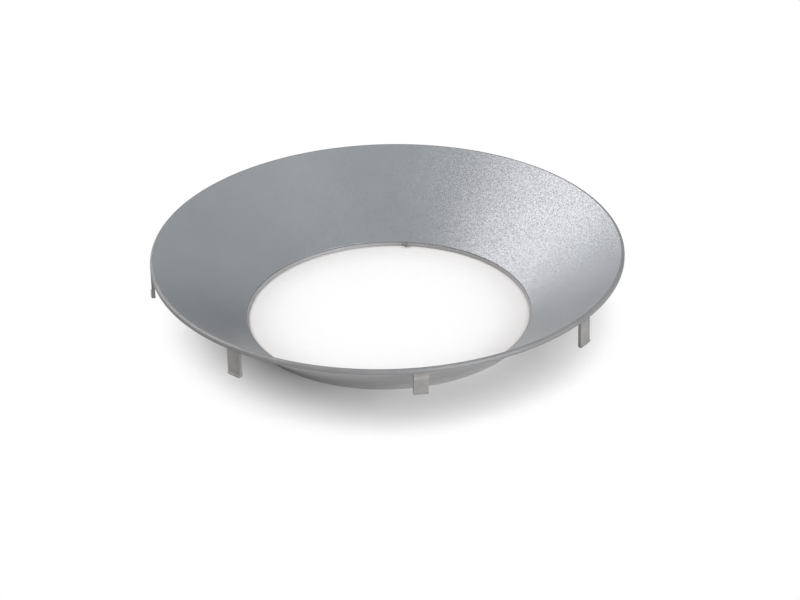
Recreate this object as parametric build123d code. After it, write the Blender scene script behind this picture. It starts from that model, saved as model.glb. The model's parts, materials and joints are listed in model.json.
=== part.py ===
from build123d import *
import math
import os

# Snap-in reflector ring of a lamp, in millimetres.
# The ring stands on its small end: +Z is up, and the origin is the centre
# of the base face. Azimuths are counted from +X towards +Y.

# Ring
outer_diameter = 200.0
overall_height = 32.0
opening_diameter = 119.6
cone_wall = 1.6

# Rim band, the upright edge around the wide end
band_thickness = 1.4
band_height = 2.0
band_edge_radius = 0.7

# Base collar, the thick foot around the opening
collar_height = 2.0
collar_wall = 2.7
collar_edge_chamfer = 0.3
foot_flare_height = 6.0

# Hooks hanging from the rim band
hook_count = 8
hook_width = 6.4
hook_length = 11.9
root_clearance = 0.1
hook_corner_radius = 1.3

# Barb at the tip of a snap hook
barb_reach = 0.6
barb_lead_in = 1.2
barb_catch = 0.5
tip_relief = 0.3

# Locating lug, the one hook of another shape
lug_position = 6
lug_length = 9.6
lug_neck = 1.2
lug_shoulder = 1.2
lug_lead_in = 2.2

# Locating pip on the inner wall of the collar
pip_azimuth = 75.0
pip_width = 2.2
pip_drop = 1.8
pip_reach = 0.6

# How far a cutting shape stands past the part it cuts
cutter_overhang = 1.0

# Sizes that follow from the ones above
rim_radius = outer_diameter / 2
rim_inner_radius = rim_radius - band_thickness
opening_radius = opening_diameter / 2
collar_radius = opening_radius + collar_wall
band_bottom = overall_height - band_height
hook_top = band_bottom - root_clearance
cone_slope = math.atan2(overall_height - collar_height, rim_inner_radius - opening_radius)
wall_across = cone_wall / math.sin(cone_slope)
wall_upright = cone_wall / math.cos(cone_slope)


def turned(outline):
    """Solid of revolution about +Z of a closed outline of (radius, height) points."""
    face = make_face(Plane.XZ * Polyline(*outline, close=True))
    return revolve(face, Axis.Z)


def cone_outside(height):
    """Point (radius, height) of the cone's outer surface at a height."""
    return opening_radius + wall_across + (height - collar_height) / math.tan(cone_slope), height


def make_reflector_cone():
    """Thin conical shell from the collar's top face to the band's inner face."""
    return turned([
        (opening_radius, collar_height),
        (rim_inner_radius, overall_height),
        (rim_inner_radius, overall_height - wall_upright),
        cone_outside(collar_height),
    ])


def make_rim_band():
    """Upright band around the wide end, with its outer edges eased."""
    band = turned([
        (rim_inner_radius, band_bottom),
        (rim_radius, band_bottom),
        (rim_radius, overall_height),
        (rim_inner_radius, overall_height),
    ])
    top_edge = band.edges().filter_by(GeomType.CIRCLE).sort_by(
        lambda edge: edge.radius + edge.center().Z
    )[-1]
    return fillet(top_edge, band_edge_radius)


def make_base_collar():
    """Thick foot ring around the opening, whose outside flares smoothly into the cone."""
    flare_top = cone_outside(foot_flare_height)
    flare_bottom = (collar_radius, collar_edge_chamfer)
    down_the_cone = (-math.cos(cone_slope), -math.sin(cone_slope))
    outline = TangentArc(flare_top, flare_bottom, tangent=down_the_cone)
    outline += Polyline(
        flare_bottom,
        (collar_radius - collar_edge_chamfer, 0),
        (opening_radius, 0),
        (opening_radius, collar_height),
        cone_outside(collar_height),
        flare_top,
    )
    return revolve(make_face(Plane.XZ * outline), Axis.Z)


def make_locating_pip():
    """Small U-shaped pip that hangs down the collar's inner wall from its top edge."""
    half_width = pip_width / 2
    arc_centre = collar_height - pip_drop + half_width
    outline = Line((-half_width, arc_centre), (-half_width, collar_height))
    outline += Line((-half_width, collar_height), (half_width, collar_height))
    outline += Line((half_width, collar_height), (half_width, arc_centre))
    outline += ThreePointArc(
        (half_width, arc_centre),
        (0, arc_centre - half_width),
        (-half_width, arc_centre),
    )
    face = Plane.YZ.offset(opening_radius - pip_reach) * make_face(outline)
    block = extrude(face, amount=pip_reach + cutter_overhang, dir=(1, 0, 0))
    bore_filling = extrude(Circle(opening_radius), amount=collar_height)
    return Rot(0, 0, pip_azimuth) * (block & bore_filling)


def hanging_arm(side_outline, length):
    """Arm at azimuth 0 with the given (radius, height) side view and rounded lower corners."""
    side = make_face(Plane.XZ * Polyline(*side_outline, close=True))
    arm = extrude(side, amount=hook_width / 2, both=True)
    front = Plane.YZ * Pos(0, hook_top - length / 2) * Rectangle(hook_width, length)
    lower_left, lower_right = front.vertices().sort_by(Axis.Z)[:2]
    front = fillet([lower_left, lower_right], hook_corner_radius)
    reach = rim_radius + barb_reach + cutter_overhang
    return arm & extrude(front, amount=reach, dir=(1, 0, 0))


def make_snap_hook():
    """Arm with an outward barb: a catch that faces up and a lead-in that faces down."""
    tip = hook_top - hook_length
    return hanging_arm([
        (rim_inner_radius, hook_top),
        (rim_radius, hook_top),
        (rim_radius, tip + barb_lead_in + barb_catch),
        (rim_radius + barb_reach, tip + barb_lead_in),
        (rim_radius - tip_relief, tip),
        (rim_inner_radius + tip_relief, tip),
        (rim_inner_radius, tip + tip_relief),
    ], hook_length)


def make_locating_lug():
    """Shorter arm that steps out below a short neck over a sloping shoulder."""
    tip = hook_top - lug_length
    return hanging_arm([
        (rim_inner_radius, hook_top),
        (rim_radius, hook_top),
        (rim_radius, hook_top - lug_neck),
        (rim_radius + barb_reach, hook_top - lug_neck - lug_shoulder),
        (rim_radius + barb_reach, tip + lug_lead_in),
        (rim_radius - tip_relief, tip),
        (rim_inner_radius + tip_relief, tip),
        (rim_inner_radius, tip + tip_relief),
    ], lug_length)


nodes = {
    "reflector_cone": make_reflector_cone(),
    "rim_band": make_rim_band(),
    "base_collar": make_base_collar(),
    "locating_pip": make_locating_pip(),
}
for position in range(hook_count):
    azimuth = position * 360 / hook_count
    if position == lug_position:
        nodes["locating_lug"] = Rot(0, 0, azimuth) * make_locating_lug()
    else:
        nodes[f"snap_hook_{position}"] = Rot(0, 0, azimuth) * make_snap_hook()

os.makedirs("parts", exist_ok=True)
for name, solid in nodes.items():
    export_step(solid, f"parts/{name}.step")
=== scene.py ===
"""Snap-in reflector ring of a lamp: its finished looks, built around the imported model.

The ring is a shallow cone, open at both ends, with an upright band round its wide end, a
thick foot round its opening, seven snap hooks and one locating lug. Every length is in
metres, +Z is up the ring's axis, and azimuths are counted from +X towards +Y.
"""

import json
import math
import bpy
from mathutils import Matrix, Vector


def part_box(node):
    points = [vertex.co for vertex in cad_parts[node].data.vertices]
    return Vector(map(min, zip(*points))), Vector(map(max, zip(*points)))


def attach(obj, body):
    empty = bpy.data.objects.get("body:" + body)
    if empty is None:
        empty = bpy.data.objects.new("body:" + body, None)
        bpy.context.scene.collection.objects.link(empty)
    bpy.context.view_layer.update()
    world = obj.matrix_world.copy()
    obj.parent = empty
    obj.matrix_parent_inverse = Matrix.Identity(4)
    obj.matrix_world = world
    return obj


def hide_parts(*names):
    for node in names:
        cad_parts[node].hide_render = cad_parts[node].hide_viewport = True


bl_info = {
    "name": "Reflector Ring",
    "version": (1, 0, 0),
    "blender": (4, 5, 0),
    "location": "3D View > Sidebar > Reflector Ring",
    "description": "Builds a snap-in reflector ring, its coating and a plain studio",
    "category": "Object",
}

from collections import namedtuple

import bmesh
import bpy
from bpy.props import FloatProperty, FloatVectorProperty, IntProperty, PointerProperty
from mathutils import Matrix, Vector

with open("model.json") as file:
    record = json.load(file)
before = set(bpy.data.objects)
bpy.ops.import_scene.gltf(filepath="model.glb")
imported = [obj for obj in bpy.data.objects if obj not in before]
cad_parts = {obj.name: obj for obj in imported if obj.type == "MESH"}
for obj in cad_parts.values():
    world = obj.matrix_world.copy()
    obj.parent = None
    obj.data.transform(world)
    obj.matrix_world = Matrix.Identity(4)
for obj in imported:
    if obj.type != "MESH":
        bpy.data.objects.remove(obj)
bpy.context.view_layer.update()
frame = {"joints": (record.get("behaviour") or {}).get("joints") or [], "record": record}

CONE_LOW, CONE_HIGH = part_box("reflector_cone")
BAND_LOW, BAND_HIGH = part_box("rim_band")
HOOK_LOW, HOOK_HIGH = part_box("snap_hook_0")
LUG_LOW, LUG_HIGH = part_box("locating_lug")
MOUNTS = {mount["name"]: mount for mount in frame["record"]["mounts"]}
OPENING_RADIUS = MOUNTS["opening"]["dims"]["r_mm"] / 1000
NODE_BODY = {
    node: body
    for body, members in frame["record"]["behaviour"]["bodies"].items()
    for node in members
}

# Vertex attribute that sets where convex edges get a painted highlight
EDGE_HIGHLIGHT_MARK = "painted_edge_highlight"

# Roundings in an outline: a sharp corner, and a point that a curve passes straight through
CREASE = 0.0
CURVE = None

# flakes, gloss: lowest and highest share of metal flake and roughness
# wear: strength of the painted highlight on convex edges; edge_gloss: strength of grazing reflections
Surface = namedtuple("Surface", "grain depth flakes gloss wear edge_gloss")


class RingSizes(bpy.types.PropertyGroup):
    """Lengths of the ring's pieces."""

    rim_radius: FloatProperty(
        name="Rim radius", description="Outer radius of the rim band",
        default=BAND_HIGH.x, unit="LENGTH", precision=5)
    band_inner_radius: FloatProperty(
        name="Band inner radius", description="Radius where the cone meets the rim band",
        default=CONE_HIGH.x, unit="LENGTH", precision=5)
    overall_height: FloatProperty(
        name="Overall height", description="Height of the ring from its foot to its rim",
        default=BAND_HIGH.z, unit="LENGTH", precision=5)
    band_bottom: FloatProperty(
        name="Band bottom", description="Height of the rim band's lower edge",
        default=BAND_LOW.z, unit="LENGTH", precision=5)
    band_rounding: FloatProperty(
        name="Band rounding", description="Rounding of the rim band's outer top edge",
        default=0.0011, unit="LENGTH", precision=5)
    opening_radius: FloatProperty(
        name="Opening radius", description="Radius of the clear opening at the small end",
        default=OPENING_RADIUS, unit="LENGTH", precision=5)
    collar_height: FloatProperty(
        name="Collar height", description="Height where the cone's slope meets the opening",
        default=CONE_LOW.z, unit="LENGTH", precision=5)
    lip_height: FloatProperty(
        name="Lip height", description="Height of the edge between the cone and the foot's wall",
        default=CONE_LOW.z - 0.0006, unit="LENGTH", precision=5)
    lip_draft: FloatProperty(
        name="Lip draft", description="How far the foot's inner wall leans out up to that edge",
        default=0.0008, unit="LENGTH", precision=5)
    collar_wall: FloatProperty(
        name="Collar wall", description="Thickness of the foot at its base",
        default=0.0027, unit="LENGTH", precision=5)
    collar_chamfer: FloatProperty(
        name="Collar chamfer", description="Chamfer on the foot's lower outer edge",
        default=0.0003, unit="LENGTH", precision=5)
    flare_height: FloatProperty(
        name="Flare height", description="Height where the foot's outside joins the cone",
        default=0.006, unit="LENGTH", precision=5)
    cone_wall: FloatProperty(
        name="Cone wall", description="Thickness of the conical shell",
        default=0.0016, unit="LENGTH", precision=5)
    foot_relief: FloatProperty(
        name="Foot relief", description="How far the wall's lower edge clears the opening",
        default=0.0003, unit="LENGTH", precision=5)
    lip_rounding: FloatProperty(
        name="Lip rounding", description="Rounding of the edge between the cone and the foot",
        default=0.00025, unit="LENGTH", precision=6)
    edge_rounding: FloatProperty(
        name="Edge rounding", description="Rounding of the small moulded edges",
        default=0.00015, unit="LENGTH", precision=6)
    turned_segments: IntProperty(
        name="Segments", description="Segments round each turned piece",
        default=288, min=48, max=720)


class HookSizes(bpy.types.PropertyGroup):
    """Lengths of the hooks, the lug and the pip."""

    inner_radius: FloatProperty(
        name="Inner radius", description="Radius of the hooks' inner face",
        default=HOOK_LOW.x, unit="LENGTH", precision=5)
    barb_reach: FloatProperty(
        name="Barb reach", description="How far a barb stands out past the rim band",
        default=HOOK_HIGH.x - BAND_HIGH.x, unit="LENGTH", precision=6)
    width: FloatProperty(
        name="Width", description="Width of a hook",
        default=HOOK_HIGH.y - HOOK_LOW.y, unit="LENGTH", precision=5)
    hook_tip: FloatProperty(
        name="Hook tip", description="Height of a snap hook's lower end",
        default=HOOK_LOW.z, unit="LENGTH", precision=5)
    lug_tip: FloatProperty(
        name="Lug tip", description="Height of the locating lug's lower end",
        default=LUG_LOW.z, unit="LENGTH", precision=5)
    lean: FloatProperty(
        name="Lean", description="How far a hook's lower end is set outward",
        default=0.00012, unit="LENGTH", precision=6)
    corner_rounding: FloatProperty(
        name="Corner rounding", description="Rounding of the lower corners, seen from the front",
        default=0.0013, unit="LENGTH", precision=5)
    barb_lead_in: FloatProperty(
        name="Barb lead-in", description="Height of the slope below a barb",
        default=0.0012, unit="LENGTH", precision=5)
    barb_catch: FloatProperty(
        name="Barb catch", description="Height of the slope above a barb",
        default=0.0005, unit="LENGTH", precision=5)
    tip_relief: FloatProperty(
        name="Tip relief", description="Bevel along a hook's lower end",
        default=0.0003, unit="LENGTH", precision=5)
    lug_neck: FloatProperty(
        name="Lug neck", description="Height of the lug's neck, above its shoulder",
        default=0.0012, unit="LENGTH", precision=5)
    lug_shoulder: FloatProperty(
        name="Lug shoulder", description="Height of the lug's sloping shoulder",
        default=0.0012, unit="LENGTH", precision=5)
    lug_lead_in: FloatProperty(
        name="Lug lead-in", description="Height of the slope at the lug's lower end",
        default=0.0022, unit="LENGTH", precision=5)
    lug_corner_rounding: FloatProperty(
        name="Lug corner rounding", description="Rounding of the lug's lower corners",
        default=0.0005, unit="LENGTH", precision=5)
    lug_slant: FloatProperty(
        name="Lug slant", description="How far the lug's far side edge is cut back below its shoulder",
        default=0.0005, unit="LENGTH", precision=5)
    pip_azimuth: FloatProperty(
        name="Pip azimuth", description="Where the pip stands round the opening",
        default=math.radians(75), subtype="ANGLE")
    pip_width: FloatProperty(
        name="Pip width", description="Width of the pip",
        default=0.0022, unit="LENGTH", precision=5)
    pip_drop: FloatProperty(
        name="Pip drop", description="How far the pip hangs down the foot's inner wall",
        default=0.0013, unit="LENGTH", precision=5)
    pip_reach: FloatProperty(
        name="Pip reach", description="How far the pip stands out from the inner wall",
        default=0.0006, unit="LENGTH", precision=6)


class Finishes(bpy.types.PropertyGroup):
    """Colours and grain of the ring's surfaces."""

    coating_light: FloatVectorProperty(
        name="Coating, light", description="Lighter tone of the satin coating",
        default=(0.306, 0.323, 0.338), subtype="COLOR", size=3, min=0, max=1)
    coating_dark: FloatVectorProperty(
        name="Coating, dark", description="Darker tone of the satin coating",
        default=(0.268, 0.283, 0.298), subtype="COLOR", size=3, min=0, max=1)
    rim_light: FloatVectorProperty(
        name="Rim, light", description="Lighter tone of the rim",
        default=(0.268, 0.272, 0.278), subtype="COLOR", size=3, min=0, max=1)
    rim_dark: FloatVectorProperty(
        name="Rim, dark", description="Darker tone of the rim",
        default=(0.234, 0.238, 0.244), subtype="COLOR", size=3, min=0, max=1)
    # Painted light: a lighter copy of the coating for the foot and for faces that look downward or
    # outward, where little light falls
    painted_light_back_pale: FloatVectorProperty(
        name="Back, light", description="Lighter tone of the lightened outside",
        default=(0.42, 0.42, 0.425), subtype="COLOR", size=3, min=0, max=1)
    painted_light_back_deep: FloatVectorProperty(
        name="Back, dark", description="Darker tone of the lightened outside",
        default=(0.385, 0.385, 0.39), subtype="COLOR", size=3, min=0, max=1)
    hook_light: FloatVectorProperty(
        name="Hook, light", description="Lighter tone of the hooks",
        default=(0.305, 0.301, 0.299), subtype="COLOR", size=3, min=0, max=1)
    hook_dark: FloatVectorProperty(
        name="Hook, dark", description="Darker tone of the hooks",
        default=(0.267, 0.263, 0.261), subtype="COLOR", size=3, min=0, max=1)
    grain_size: FloatProperty(
        name="Grain size", description="Size of one grain of the coating",
        default=0.00075, unit="LENGTH", precision=5)
    grain_depth: FloatProperty(
        name="Grain depth", description="Depth of the coating's grain",
        default=0.00003, unit="LENGTH", precision=6)


class Studio(bpy.types.PropertyGroup):
    """Camera, floor and lamps."""

    lens: FloatProperty(
        name="Lens", description="Focal length on a 36 mm sensor, in millimetres",
        default=105.79, unit="CAMERA")
    distance: FloatProperty(
        name="Distance", description="Distance of the camera from the point it looks at",
        default=1.0185, unit="LENGTH")
    elevation: FloatProperty(
        name="Elevation", description="Angle of the view above the floor",
        default=math.radians(29.787), subtype="ANGLE")
    azimuth: FloatProperty(
        name="Azimuth", description="Turn of the camera round the ring",
        default=math.radians(-7.2), subtype="ANGLE")
    roll: FloatProperty(
        name="Roll", description="Roll of the camera about its line of sight",
        default=math.radians(-1.2668), subtype="ANGLE")
    aim_across: FloatProperty(
        name="Aim across", description="The point looked at, to the right of the ring's axis",
        default=0.0049228, unit="LENGTH")
    aim_away: FloatProperty(
        name="Aim away", description="The point looked at, behind the ring's axis",
        default=0.0107608, unit="LENGTH")
    key_colour: FloatVectorProperty(
        name="Key colour", description="Colour of the key lamp's light",
        default=(1.0, 0.95, 0.935), subtype="COLOR", size=3, min=0, max=1)
    floor_colour: FloatVectorProperty(
        name="Floor colour", description="Colour of the floor",
        default=(0.85, 0.85, 0.85), subtype="COLOR", size=3, min=0, max=1)
    shade_reach: FloatProperty(
        name="Shade reach", description="How far off the ring still shades the floor",
        default=0.05, unit="LENGTH")
    shade_closed: FloatProperty(
        name="Full shade", description="Open share of the sky below which the floor keeps its shade",
        default=0.18, subtype="FACTOR", min=0, max=1)
    shade_open: FloatProperty(
        name="No shade", description="Open share of the sky above which the floor is plain white",
        default=0.51, subtype="FACTOR", min=0, max=1)
    inner_closed: FloatProperty(
        name="Full inner shade", description="The same as Full shade, for the floor in the opening",
        default=0.82, subtype="FACTOR", min=0, max=1)
    inner_open: FloatProperty(
        name="No inner shade", description="The same as No shade, for the floor in the opening",
        default=0.94, subtype="FACTOR", min=0, max=1)
    sky_level: FloatProperty(
        name="Sky level", description="Strength of the even light from all round",
        default=0.04, subtype="FACTOR", min=0, max=1)


def at_azimuth(angle):
    """Turn about the ring's axis."""
    return Matrix.Rotation(angle, 4, "Z")


def rounded_outline(corners, steps=6, guard=0.00006, longest=0.004):
    """Closed outline through corners given as (radius, height, rounding).

    A rounding of CURVE passes straight through the point. Any other corner gets an arc and a
    guard point on each side, which keeps the smooth shading of the corner off the flat runs.
    No run of the outline is left longer than the longest one allowed.
    """
    points = []
    for place, (radius, height, rounding) in enumerate(corners):
        here = Vector((radius, height))
        if rounding is CURVE:
            points.append(here)
            continue
        following = corners[(place + 1) % len(corners)]
        to_last = (Vector(corners[place - 1][:2]) - here).normalized()
        to_next = (Vector(following[:2]) - here).normalized()
        half_angle = to_last.angle(to_next) / 2
        cut = rounding / math.tan(half_angle)
        points.append(here + to_last * (cut + guard))
        if rounding:
            centre = here + (to_last + to_next).normalized() * (rounding / math.sin(half_angle))
            spoke = here + to_last * cut - centre
            sweep = spoke.angle_signed(here + to_next * cut - centre)
            for step in range(steps + 1):
                turn = Matrix.Rotation(-sweep * step / steps, 2)
                points.append(centre + turn @ spoke)
        else:
            points.append(here)
        points.append(here + to_next * (cut + guard))
    outline = []
    for place, start in enumerate(points):
        run = points[(place + 1) % len(points)] - start
        parts = max(1, math.ceil(run.length / longest))
        outline += [start + run * part / parts for part in range(parts)]
    return outline


def new_piece(name, bm):
    """Scene object with the finished mesh, its faces outward and smooth."""
    bmesh.ops.recalc_face_normals(bm, faces=bm.faces)
    for face in bm.faces:
        face.smooth = True
    mesh = bpy.data.meshes.new(name)
    bm.to_mesh(mesh)
    bm.free()
    piece = bpy.data.objects.new(name, mesh)
    bpy.context.scene.collection.objects.link(piece)
    return piece


def turned_piece(name, outline, segments):
    """Ring made by turning a closed outline of (radius, height) points about +Z."""
    bm = bmesh.new()
    rows = []
    for segment in range(segments):
        turn = at_azimuth(math.tau * segment / segments)
        rows.append([bm.verts.new(turn @ Vector((p.x, 0, p.y))) for p in outline])
    for segment, row in enumerate(rows):
        beside = rows[(segment + 1) % segments]
        for place in range(len(outline)):
            after = (place + 1) % len(outline)
            bm.faces.new((row[place], row[after], beside[after], beside[place]))
    return new_piece(name, bm)


def level_at(profile, height):
    """Value of a profile of (height, value) points, in rising order, at a height."""
    for (low, low_value), (high, high_value) in zip(profile, profile[1:]):
        if height <= high:
            share = (height - low) / (high - low)
            return low_value + (high_value - low_value) * share
    return profile[-1][1]


def corner_width(half_width, rounding, above_tip):
    """Half the width of a tongue with rounded lower corners, at a height above its tip."""
    if above_tip >= rounding:
        return half_width
    return half_width - rounding + math.sqrt(rounding**2 - (rounding - above_tip) ** 2)


def ease_edges(piece, width, steepest=math.radians(24)):
    """Rounds the sharp edges of a piece, and evens its shading."""
    bevel = piece.modifiers.new("rounded edges", "BEVEL")
    bevel.width = width
    bevel.segments = 3
    bevel.limit_method = "ANGLE"
    bevel.angle_limit = steepest
    shading = piece.modifiers.new("even shading", "WEIGHTED_NORMAL")
    shading.keep_sharp = True
    shaped = piece.evaluated_get(bpy.context.evaluated_depsgraph_get())
    mesh = bpy.data.meshes.new_from_object(shaped)
    mesh.name = piece.name
    piece.modifiers.clear()
    piece.data = mesh


def hanging_arm(name, profiles, rounding, sizes, hooks, azimuth):
    """Arm under the rim band: rectangular sections stacked from its tip to its root.

    The profiles are lists of (height, value) for the outer face, the inner face and the
    trim of each side edge.
    """
    half_width = hooks.width / 2
    kinks = {height for profile in profiles.values() for height, _ in profile}
    tip = min(kinks)
    corner_steps = 8
    for step in range(corner_steps + 1):
        kinks.add(tip + rounding * (1 - math.cos(math.pi / 2 * step / corner_steps)))
    bm = bmesh.new()
    sections = []
    for height in sorted(kinks):
        inner = level_at(profiles["inner"], height)
        outer = level_at(profiles["outer"], height)
        half = corner_width(half_width, rounding, height - tip)
        near = level_at(profiles["near_trim"], height) - half
        far = half - level_at(profiles["far_trim"], height)
        ring = [(inner, near), (outer, near), (outer, far), (inner, far)]
        sections.append([bm.verts.new((x, y, height)) for x, y in ring])
    for below, above in zip(sections, sections[1:]):
        for side in range(4):
            beside = (side + 1) % 4
            bm.faces.new((below[side], below[beside], above[beside], above[side]))
    bm.faces.new(sections[0])
    bm.faces.new(sections[-1])
    bmesh.ops.remove_doubles(bm, verts=bm.verts, dist=1e-7)
    arm = new_piece(name, bm)
    ease_edges(arm, sizes.edge_rounding)
    arm.data.transform(at_azimuth(azimuth))
    return arm


def mark_edge_highlight(piece):
    """Stores how sharply each vertex stands out, which is where the coating gets a painted highlight.
    """
    full_wear = math.radians(20)
    bm = bmesh.new()
    bm.from_mesh(piece.data)
    sharp = [
        max((edge.calc_face_angle_signed(0) for edge in vert.link_edges), default=0)
        for vert in bm.verts
    ]
    bm.free()
    mark = piece.data.attributes.new(EDGE_HIGHLIGHT_MARK, "FLOAT", "POINT")
    mark.data.foreach_set("value", [min(1, max(0, angle / full_wear)) for angle in sharp])


def finish_piece(piece, node, material):
    """Material, body and CAD node of a finished piece."""
    mark_edge_highlight(piece)
    piece.data.materials.clear()
    piece.data.materials.append(material)
    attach(piece, NODE_BODY[node])
    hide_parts(node)


def add_node(tree, kind, settings=None, **inputs):
    """Shader node with its settings and unlinked inputs."""
    node = tree.nodes.new(kind)
    for name, value in (settings or {}).items():
        setattr(node, name, value)
    for name, value in inputs.items():
        node.inputs[name.replace("_", " ")].default_value = value
    return node


def speckle(tree, place, size, detail=2.0, roughness=0.5):
    """Noise of about 0 to 1 whose patches are of a size in metres."""
    noise = add_node(tree, "ShaderNodeTexNoise", Scale=1 / size, Detail=detail, Roughness=roughness)
    tree.links.new(place, noise.inputs["Vector"])
    return noise.outputs["Fac"]


def ramp(tree, value, low, high, low_out, high_out):
    """Value mapped from one span to another and held inside it."""
    node = add_node(tree, "ShaderNodeMapRange")
    for name, number in zip(
        ("From Min", "From Max", "To Min", "To Max"), (low, high, low_out, high_out)
    ):
        node.inputs[name].default_value = number
    tree.links.new(value, node.inputs["Value"])
    return node.outputs["Result"]


def arithmetic(tree, operation, first, second):
    """Sum, product or other arithmetic of two values, each a socket or a number."""
    node = add_node(tree, "ShaderNodeMath", {"operation": operation})
    for socket, value in zip(node.inputs, (first, second)):
        if isinstance(value, (int, float)):
            socket.default_value = value
        else:
            tree.links.new(value, socket)
    return node.outputs["Value"]


def blend(tree, kind, share, first, second):
    """Blend of two colours (kind RGBA) or values (kind VALUE), each a socket or its numbers."""
    data_type = {"RGBA": "RGBA", "VALUE": "FLOAT"}[kind]
    node = add_node(tree, "ShaderNodeMix", {"data_type": data_type})
    tree.links.new(share, node.inputs["Factor"])
    for name, part in (("A", first), ("B", second)):
        socket = next(s for s in node.inputs if s.name == name and s.type == kind)
        if isinstance(part, bpy.types.NodeSocket):
            tree.links.new(part, socket)
        else:
            socket.default_value = (*part, 1) if kind == "RGBA" else part
    return next(s for s in node.outputs if s.type == kind)


def mixed_noise(tree, broad, fine, fine_share):
    """Sum of a broad and a fine noise, of which the fine one has the given share."""
    return arithmetic(
        tree, "ADD",
        arithmetic(tree, "MULTIPLY", broad, 1 - fine_share),
        arithmetic(tree, "MULTIPLY", fine, fine_share))


def empty_material(name):
    """New material whose node tree is empty."""
    material = bpy.data.materials.new(name)
    material.use_nodes = True
    material.node_tree.nodes.clear()
    return material


def silver_coating(name, light, dark, surface):
    """Satin silver coating: fine grain, faint cloudiness and a painted highlight on convex edges."""
    cloud_size = 0.035
    smudge_size = 0.009
    # Noise keeps close to its middle, so the ramps below stretch this span of it
    low, high = 0.35, 0.65
    highlight_over_light = 1.35
    tint_over_gloss = 1.7

    material = empty_material(name)
    tree = material.node_tree
    place = add_node(tree, "ShaderNodeTexCoord").outputs["Object"]
    fine = speckle(tree, place, surface.grain, detail=1, roughness=0.6)
    clouds = speckle(tree, place, cloud_size, detail=4, roughness=0.55)
    smudges = speckle(tree, place, smudge_size, detail=3, roughness=0.6)

    tone = ramp(tree, mixed_noise(tree, clouds, fine, fine_share=0.45), low, high, 0, 1)
    body = blend(tree, "RGBA", tone, dark, light)
    # Painted highlight: convex edges are lightened in patches towards a paler copy of the coating
    mark = add_node(tree, "ShaderNodeAttribute", {"attribute_name": EDGE_HIGHLIGHT_MARK}).outputs["Fac"]
    patchy = ramp(tree, smudges, 0.42, 0.62, 0, surface.wear)
    edge_highlit = arithmetic(tree, "MULTIPLY", mark, patchy)
    painted_light = [min(1, channel * highlight_over_light) for channel in light]
    colour = blend(tree, "RGBA", edge_highlit, body, painted_light)

    rough = ramp(tree, mixed_noise(tree, smudges, fine, fine_share=0.7), low, high, *surface.gloss)
    flakes = ramp(tree, fine, 0.36, 0.64, *surface.flakes)
    bump = add_node(tree, "ShaderNodeBump", Strength=1.0, Distance=surface.depth)
    tree.links.new(fine, bump.inputs["Height"])

    tint = surface.edge_gloss * tint_over_gloss
    shader = add_node(
        tree, "ShaderNodeBsdfPrincipled",
        Specular_IOR_Level=surface.edge_gloss, Specular_Tint=(tint, tint, tint, 1))
    tree.links.new(flakes, shader.inputs["Metallic"])
    tree.links.new(colour, shader.inputs["Base Color"])
    tree.links.new(rough, shader.inputs["Roughness"])
    tree.links.new(bump.outputs["Normal"], shader.inputs["Normal"])
    output = add_node(tree, "ShaderNodeOutputMaterial")
    tree.links.new(shader.outputs["BSDF"], output.inputs["Surface"])
    return material


def coating_once(name, light, dark, surface):
    """Coating of that name, made the first time it is asked for."""
    return bpy.data.materials.get(name) or silver_coating(name, light, dark, surface)


def reflector_coating(finish):
    """Grained satin coating of the cone's inner face."""
    return coating_once("satin reflector", finish.coating_light, finish.coating_dark, Surface(
        grain=finish.grain_size, depth=finish.grain_depth,
        flakes=(0.2, 0.62), gloss=(0.37, 0.45), wear=0.35, edge_gloss=0.3))


def rim_coating(finish):
    """Smoother coating of the rim band and the pip."""
    return coating_once("rim silver", finish.rim_light, finish.rim_dark, Surface(
        grain=finish.grain_size * 0.6, depth=finish.grain_depth * 0.5,
        flakes=(0.12, 0.28), gloss=(0.42, 0.5), wear=0.3, edge_gloss=0.12))


def painted_light_back(finish):
    """Smoother, lighter copy of the coating for the foot and the cone's outside; its lighter tone is
    painted light on these dimly lit faces.
    """
    return coating_once("back with painted light", finish.painted_light_back_pale, finish.painted_light_back_deep, Surface(
        grain=finish.grain_size * 0.8, depth=finish.grain_depth * 0.5,
        flakes=(0.1, 0.25), gloss=(0.45, 0.54), wear=0.3, edge_gloss=0.12))


def hook_plastic(finish):
    """Plain moulded surface of the hooks and the lug."""
    return coating_once("hook grey", finish.hook_light, finish.hook_dark, Surface(
        grain=finish.grain_size * 0.6, depth=finish.grain_depth * 0.4,
        flakes=(0.15, 0.3), gloss=(0.48, 0.56), wear=0.4, edge_gloss=0.1))


def paint_light_on_back_faces(piece, material):
    """Gives the faces that look downward or outward the lighter copy of the coating, which paints
    light onto these dimly lit faces.
    """
    facing_down = -0.1
    piece.data.materials.append(material)
    for face in piece.data.polygons:
        outward = face.normal.xy.dot(face.center.xy) > 0
        if face.normal.z < facing_down or outward:
            face.material_index = 1


def cone_slope(sizes):
    """Angle of the cone's wall above the floor."""
    rise = sizes.overall_height - sizes.collar_height
    return math.atan2(rise, sizes.band_inner_radius - sizes.opening_radius)


def cone_outside(sizes, height):
    """Radius of the cone's outer surface at a height."""
    slope = cone_slope(sizes)
    across = sizes.cone_wall / math.sin(slope)
    return sizes.opening_radius + across + (height - sizes.collar_height) / math.tan(slope)


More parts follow.
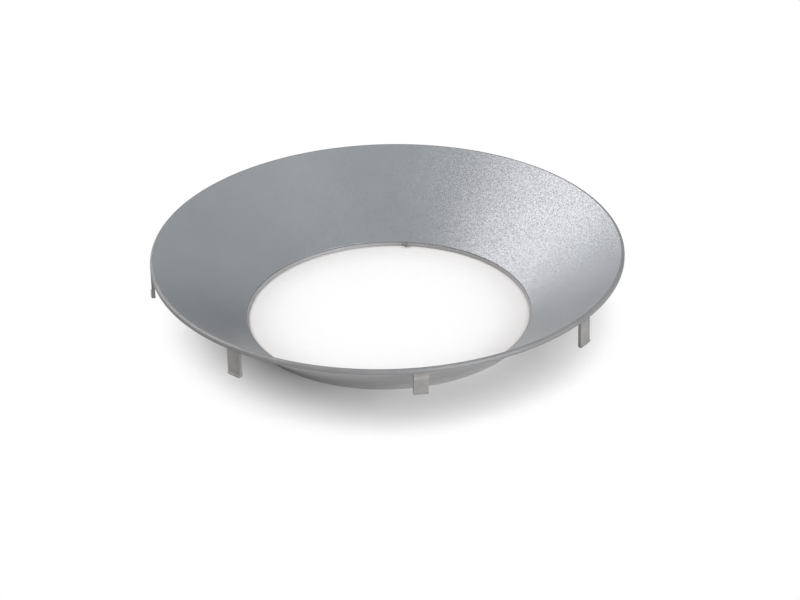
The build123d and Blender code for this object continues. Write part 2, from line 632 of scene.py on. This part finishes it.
class RING_OT_reflector_cone(bpy.types.Operator):
    """Thin conical shell, from the foot's top to the rim band"""

    bl_idname = "reflector_ring.reflector_cone"
    bl_label = "Reflector Cone"

    def execute(self, context):
        sizes = context.scene.ring_sizes
        upright = sizes.cone_wall / math.cos(cone_slope(sizes))
        outline = rounded_outline([
            (sizes.opening_radius + sizes.lip_draft, sizes.lip_height, sizes.lip_rounding),
            (cone_outside(sizes, sizes.lip_height), sizes.lip_height, CREASE),
            (sizes.band_inner_radius, sizes.overall_height - upright, CREASE),
            (sizes.band_inner_radius, sizes.overall_height, CREASE),
        ])
        cone = turned_piece("cone_shell", outline, sizes.turned_segments)
        coating = reflector_coating(context.scene.ring_finishes)
        finish_piece(cone, "reflector_cone", coating)
        # The cone's downward and outward faces get painted light: a lighter copy of the coating
        paint_light_on_back_faces(cone, painted_light_back(context.scene.ring_finishes))
        return {"FINISHED"}


class RING_OT_rim_band(bpy.types.Operator):
    """Upright band round the wide end, with a rounded outer top edge"""

    bl_idname = "reflector_ring.rim_band"
    bl_label = "Rim Band"

    def execute(self, context):
        sizes = context.scene.ring_sizes
        outline = rounded_outline([
            (sizes.band_inner_radius, sizes.band_bottom, CREASE),
            (sizes.rim_radius, sizes.band_bottom, sizes.edge_rounding),
            (sizes.rim_radius, sizes.overall_height, sizes.band_rounding),
            (sizes.band_inner_radius, sizes.overall_height, CREASE),
        ])
        band = turned_piece("rim_band_shell", outline, sizes.turned_segments)
        coating = rim_coating(context.scene.ring_finishes)
        finish_piece(band, "rim_band", coating)
        return {"FINISHED"}


class RING_OT_base_collar(bpy.types.Operator):
    """Thick foot round the opening, whose outside flares into the cone"""

    bl_idname = "reflector_ring.base_collar"
    bl_label = "Base Collar"

    def execute(self, context):
        sizes = context.scene.ring_sizes
        slope = cone_slope(sizes)
        foot = Vector((sizes.opening_radius + sizes.collar_wall, sizes.collar_chamfer))
        join = Vector((cone_outside(sizes, sizes.flare_height), sizes.flare_height))
        # The flare is the arc through the foot's edge that leaves the cone along its slope.
        outward = Vector((math.sin(slope), -math.cos(slope)))
        chord = foot - join
        reach = chord.length_squared / (2 * chord.dot(outward))
        centre = join + outward * reach
        spoke = join - centre
        sweep = spoke.angle_signed(foot - centre)
        flare_steps = 20
        flare = [
            centre + Matrix.Rotation(-sweep * step / flare_steps, 2) @ spoke
            for step in range(1, flare_steps)
        ]
        corners = [
            (sizes.opening_radius + sizes.foot_relief, 0.0, sizes.edge_rounding),
            (sizes.opening_radius + sizes.lip_draft, sizes.lip_height, CREASE),
            (cone_outside(sizes, sizes.lip_height), sizes.lip_height, CREASE),
            (join.x, join.y, CURVE),
            *((point.x, point.y, CURVE) for point in flare),
            (foot.x, foot.y, sizes.edge_rounding / 2),
            (foot.x - sizes.collar_chamfer, 0.0, sizes.edge_rounding / 2),
        ]
        collar = turned_piece("foot_collar", rounded_outline(corners), sizes.turned_segments)
        # The whole foot gets the lighter copy of the coating, painted light on its dim walls
        painted_light = painted_light_back(context.scene.ring_finishes)
        finish_piece(collar, "base_collar", painted_light)
        return {"FINISHED"}


class RING_OT_locating_pip(bpy.types.Operator):
    """Small U-shaped pip on the foot's inner wall"""

    bl_idname = "reflector_ring.locating_pip"
    bl_label = "Locating Pip"

    def execute(self, context):
        sizes = context.scene.ring_sizes
        hooks = context.scene.hook_sizes
        half = hooks.pip_width / 2
        round_steps = 16
        low = sizes.lip_height - hooks.pip_drop + half
        front = [(-half, sizes.lip_height), (-half, low)]
        for step in range(1, round_steps):
            angle = math.pi + math.pi * step / round_steps
            front.append((half * math.cos(angle), low + half * math.sin(angle)))
        front += [(half, low), (half, sizes.lip_height)]
        bm = bmesh.new()
        face_radius = sizes.opening_radius - hooks.pip_reach
        near = [bm.verts.new((face_radius, y, z)) for y, z in front]
        far = []
        for y, z in front:
            lean = (sizes.lip_draft - sizes.foot_relief) * z / sizes.lip_height
            wall = sizes.opening_radius + sizes.foot_relief + lean
            far.append(bm.verts.new((math.sqrt(wall**2 - y**2), y, z)))
        for place in range(len(front)):
            after = (place + 1) % len(front)
            bm.faces.new((near[place], near[after], far[after], far[place]))
        bm.faces.new(near)
        bm.faces.new(far)
        pip = new_piece("wall_pip", bm)
        ease_edges(pip, sizes.edge_rounding, steepest=math.radians(50))
        pip.data.transform(at_azimuth(hooks.pip_azimuth))
        coating = rim_coating(context.scene.ring_finishes)
        finish_piece(pip, "locating_pip", coating)
        return {"FINISHED"}


def hook_azimuth(node):
    """Azimuth of a hook's hinge, which is the azimuth of the hook."""
    joint = next(j for j in frame["joints"] if j["child"] == NODE_BODY[node])
    return math.atan2(joint["pos_m"][1], joint["pos_m"][0])


class RING_OT_snap_hooks(bpy.types.Operator):
    """Seven arms that hang from the rim band, each with an outward barb"""

    bl_idname = "reflector_ring.snap_hooks"
    bl_label = "Snap Hooks"

    def execute(self, context):
        sizes = context.scene.ring_sizes
        hooks = context.scene.hook_sizes
        tip, relief = hooks.hook_tip, hooks.tip_relief
        barb = tip + hooks.barb_lead_in
        outer = [
            (tip, sizes.rim_radius + hooks.lean - relief),
            (barb, sizes.rim_radius + hooks.barb_reach),
            (barb + hooks.barb_catch, sizes.rim_radius + hooks.lean),
            (sizes.band_bottom, sizes.rim_radius),
        ]
        inner = [
            (tip, hooks.inner_radius + hooks.lean + relief),
            (tip + relief, hooks.inner_radius + hooks.lean),
            (sizes.band_bottom, hooks.inner_radius),
        ]
        square = [(tip, 0.0), (sizes.band_bottom, 0.0)]
        plastic = hook_plastic(context.scene.ring_finishes)
        for node in sorted(name for name in NODE_BODY if name.startswith("snap_hook_")):
            name = node.replace("snap_hook", "hook_arm")
            profiles = {"outer": outer, "inner": inner, "near_trim": square, "far_trim": square}
            arm = hanging_arm(
                name, profiles, hooks.corner_rounding, sizes, hooks, hook_azimuth(node))
            finish_piece(arm, node, plastic)
        return {"FINISHED"}


class RING_OT_locating_lug(bpy.types.Operator):
    """Shorter arm with a neck, a sloping shoulder and a long lead-in"""

    bl_idname = "reflector_ring.locating_lug"
    bl_label = "Locating Lug"

    def execute(self, context):
        sizes = context.scene.ring_sizes
        hooks = context.scene.hook_sizes
        tip, relief = hooks.lug_tip, hooks.tip_relief
        step_out = sizes.rim_radius + hooks.barb_reach
        neck_end = LUG_HIGH.z - hooks.lug_neck
        shoulder_end = neck_end - hooks.lug_shoulder
        outer = [
            (tip, sizes.rim_radius - relief),
            (tip + hooks.lug_lead_in, step_out),
            (shoulder_end, step_out),
            (neck_end, sizes.rim_radius),
            (sizes.band_bottom, sizes.rim_radius),
        ]
        inner = [
            (tip, hooks.inner_radius + relief),
            (tip + relief, hooks.inner_radius),
            (sizes.band_bottom, hooks.inner_radius),
        ]
        near_trim = [
            (tip, 0.0),
            (shoulder_end, 0.0),
            (neck_end, hooks.lug_slant / 2),
            (sizes.band_bottom, hooks.lug_slant / 2),
        ]
        far_trim = [
            (tip, hooks.lug_slant),
            (shoulder_end, hooks.lug_slant),
            (neck_end, 0.0),
            (sizes.band_bottom, 0.0),
        ]
        profiles = {
            "outer": outer, "inner": inner, "near_trim": near_trim, "far_trim": far_trim}
        azimuth = hook_azimuth("locating_lug")
        lug = hanging_arm("lug_arm", profiles, hooks.lug_corner_rounding, sizes, hooks, azimuth)
        plastic = hook_plastic(context.scene.ring_finishes)
        finish_piece(lug, "locating_lug", plastic)
        return {"FINISHED"}


def white_in_view(tree, elsewhere):
    """Socket that is 1 for camera, glossy and transmission rays, and a value otherwise."""
    rays = add_node(tree, "ShaderNodeLightPath").outputs
    seen = arithmetic(tree, "MAXIMUM", rays["Is Camera Ray"], rays["Is Glossy Ray"])
    seen = arithmetic(tree, "MAXIMUM", seen, rays["Is Transmission Ray"])
    return ramp(tree, seen, 0, 1, elsewhere, 1)


def floor_material(studio):
    """Pale matt floor that is plain white in view wherever the ring leaves it open.

    How far the ring closes off a point of the floor sets how much of its shade is kept.
    """
    material = empty_material("pale floor")
    tree = material.node_tree
    matt = add_node(tree, "ShaderNodeBsdfDiffuse", Color=(*studio.floor_colour, 1))
    white = add_node(tree, "ShaderNodeEmission", Color=(1, 1, 1, 1), Strength=1.0)
    shelter = add_node(tree, "ShaderNodeAmbientOcclusion", Distance=studio.shade_reach)
    open_share = shelter.outputs["AO"]
    around = ramp(tree, open_share, studio.shade_closed, studio.shade_open, 0, 1)
    within = ramp(tree, open_share, studio.inner_closed, studio.inner_open, 0, 1)
    place = add_node(tree, "ShaderNodeTexCoord").outputs["Object"]
    from_axis = add_node(tree, "ShaderNodeVectorMath", {"operation": "LENGTH"})
    tree.links.new(place, from_axis.inputs[0])
    # The change from inner to outer floor lies hidden under the foot's wall
    under_foot = OPENING_RADIUS + 0.001
    inside = arithmetic(tree, "LESS_THAN", from_axis.outputs["Value"], under_foot)
    lift = blend(tree, "VALUE", inside, around, within)
    white_share = arithmetic(tree, "MULTIPLY", white_in_view(tree, 0.0), lift)
    both = add_node(tree, "ShaderNodeMixShader")
    tree.links.new(white_share, both.inputs["Fac"])
    tree.links.new(matt.outputs["BSDF"], both.inputs[1])
    tree.links.new(white.outputs["Emission"], both.inputs[2])
    output = add_node(tree, "ShaderNodeOutputMaterial")
    tree.links.new(both.outputs["Shader"], output.inputs["Surface"])
    return material


def soft_lamp(name, azimuth, elevation, strength, spread=40, colour=(1, 1, 1)):
    """Wide far-off lamp of even strength; its angles are in degrees.

    A strength of 1 lights a white surface that faces the lamp to white.
    """
    light = bpy.data.lights.new(name, "SUN")
    light.energy = math.pi * strength
    light.color = colour
    light.angle = math.radians(spread)
    lamp = bpy.data.objects.new(name, light)
    around, up = math.radians(azimuth), math.radians(elevation)
    away = Vector((math.cos(up) * math.cos(around), math.cos(up) * math.sin(around), math.sin(up)))
    lamp.rotation_mode = "QUATERNION"
    lamp.rotation_quaternion = away.to_track_quat("Z", "Y")
    bpy.context.scene.collection.objects.link(lamp)


class RING_OT_studio_stage(bpy.types.Operator):
    """Pale floor, soft lamps, even sky and the camera"""

    bl_idname = "reflector_ring.studio_stage"
    bl_label = "Studio Stage"

    def execute(self, context):
        studio = context.scene.ring_studio
        scene = context.scene
        half_floor = 2.5
        bm = bmesh.new()
        bmesh.ops.create_grid(bm, x_segments=1, y_segments=1, size=half_floor)
        floor = new_piece("floor", bm)
        floor.data.materials.append(floor_material(studio))

        world = bpy.data.worlds.new("even sky")
        world.use_nodes = True
        tree = world.node_tree
        tree.nodes.clear()
        sky = add_node(tree, "ShaderNodeBackground", Color=(1, 1, 1, 1))
        tree.links.new(white_in_view(tree, studio.sky_level), sky.inputs["Strength"])
        output = add_node(tree, "ShaderNodeOutputWorld")
        tree.links.new(sky.outputs["Background"], output.inputs["Surface"])
        scene.world = world

        soft_lamp("key lamp", azimuth=143, elevation=45, strength=0.73,
                  spread=48, colour=studio.key_colour)
        soft_lamp("back lamp", azimuth=123, elevation=20, strength=0.17)
        soft_lamp("low front lamp", azimuth=283, elevation=16, strength=0.20)
        soft_lamp("front lamp", azimuth=308, elevation=20, strength=0.74)

        camera = bpy.data.cameras.new("camera")
        camera.lens = studio.lens
        camera.sensor_width = 36
        eye = bpy.data.objects.new("camera", camera)
        eye.matrix_world = (
            at_azimuth(studio.azimuth)
            @ Matrix.Translation((studio.aim_across, studio.aim_away, 0))
            @ Matrix.Rotation(math.pi / 2 - studio.elevation, 4, "X")
            @ Matrix.Translation((0, 0, studio.distance))
            @ Matrix.Rotation(studio.roll, 4, "Z")
        )
        scene.collection.objects.link(eye)
        scene.camera = eye
        scene.view_settings.view_transform = "Standard"
        return {"FINISHED"}


PIECE_OPERATORS = (
    RING_OT_reflector_cone,
    RING_OT_rim_band,
    RING_OT_base_collar,
    RING_OT_locating_pip,
    RING_OT_snap_hooks,
    RING_OT_locating_lug,
    RING_OT_studio_stage,
)


class RING_PT_sidebar(bpy.types.Panel):
    """Sidebar list of the ring's operators and settings"""

    bl_label = "Reflector Ring"
    bl_idname = "RING_PT_sidebar"
    bl_space_type = "VIEW_3D"
    bl_region_type = "UI"
    bl_category = "Reflector Ring"

    def draw(self, context):
        for operator in PIECE_OPERATORS:
            self.layout.operator(operator.bl_idname)
        scene = context.scene
        for group in (scene.ring_sizes, scene.hook_sizes, scene.ring_finishes, scene.ring_studio):
            box = self.layout.box()
            for name in group.bl_rna.properties.keys():
                if name not in ("name", "rna_type"):
                    box.prop(group, name)


SETTINGS = {
    "ring_sizes": RingSizes,
    "hook_sizes": HookSizes,
    "ring_finishes": Finishes,
    "ring_studio": Studio,
}
CLASSES = (*SETTINGS.values(), *PIECE_OPERATORS, RING_PT_sidebar)


def register():
    """Adds the classes and their settings to Blender."""
    for cls in CLASSES:
        bpy.utils.register_class(cls)
    for name, group in SETTINGS.items():
        setattr(bpy.types.Scene, name, PointerProperty(type=group))


def unregister():
    """Takes the classes and their settings out again."""
    for name in SETTINGS:
        delattr(bpy.types.Scene, name)
    for cls in reversed(CLASSES):
        bpy.utils.unregister_class(cls)


def main():
    register()
    for operator in PIECE_OPERATORS:
        group, name = operator.bl_idname.split(".")
        getattr(getattr(bpy.ops, group), name)()


if __name__ == "__main__":
    main()
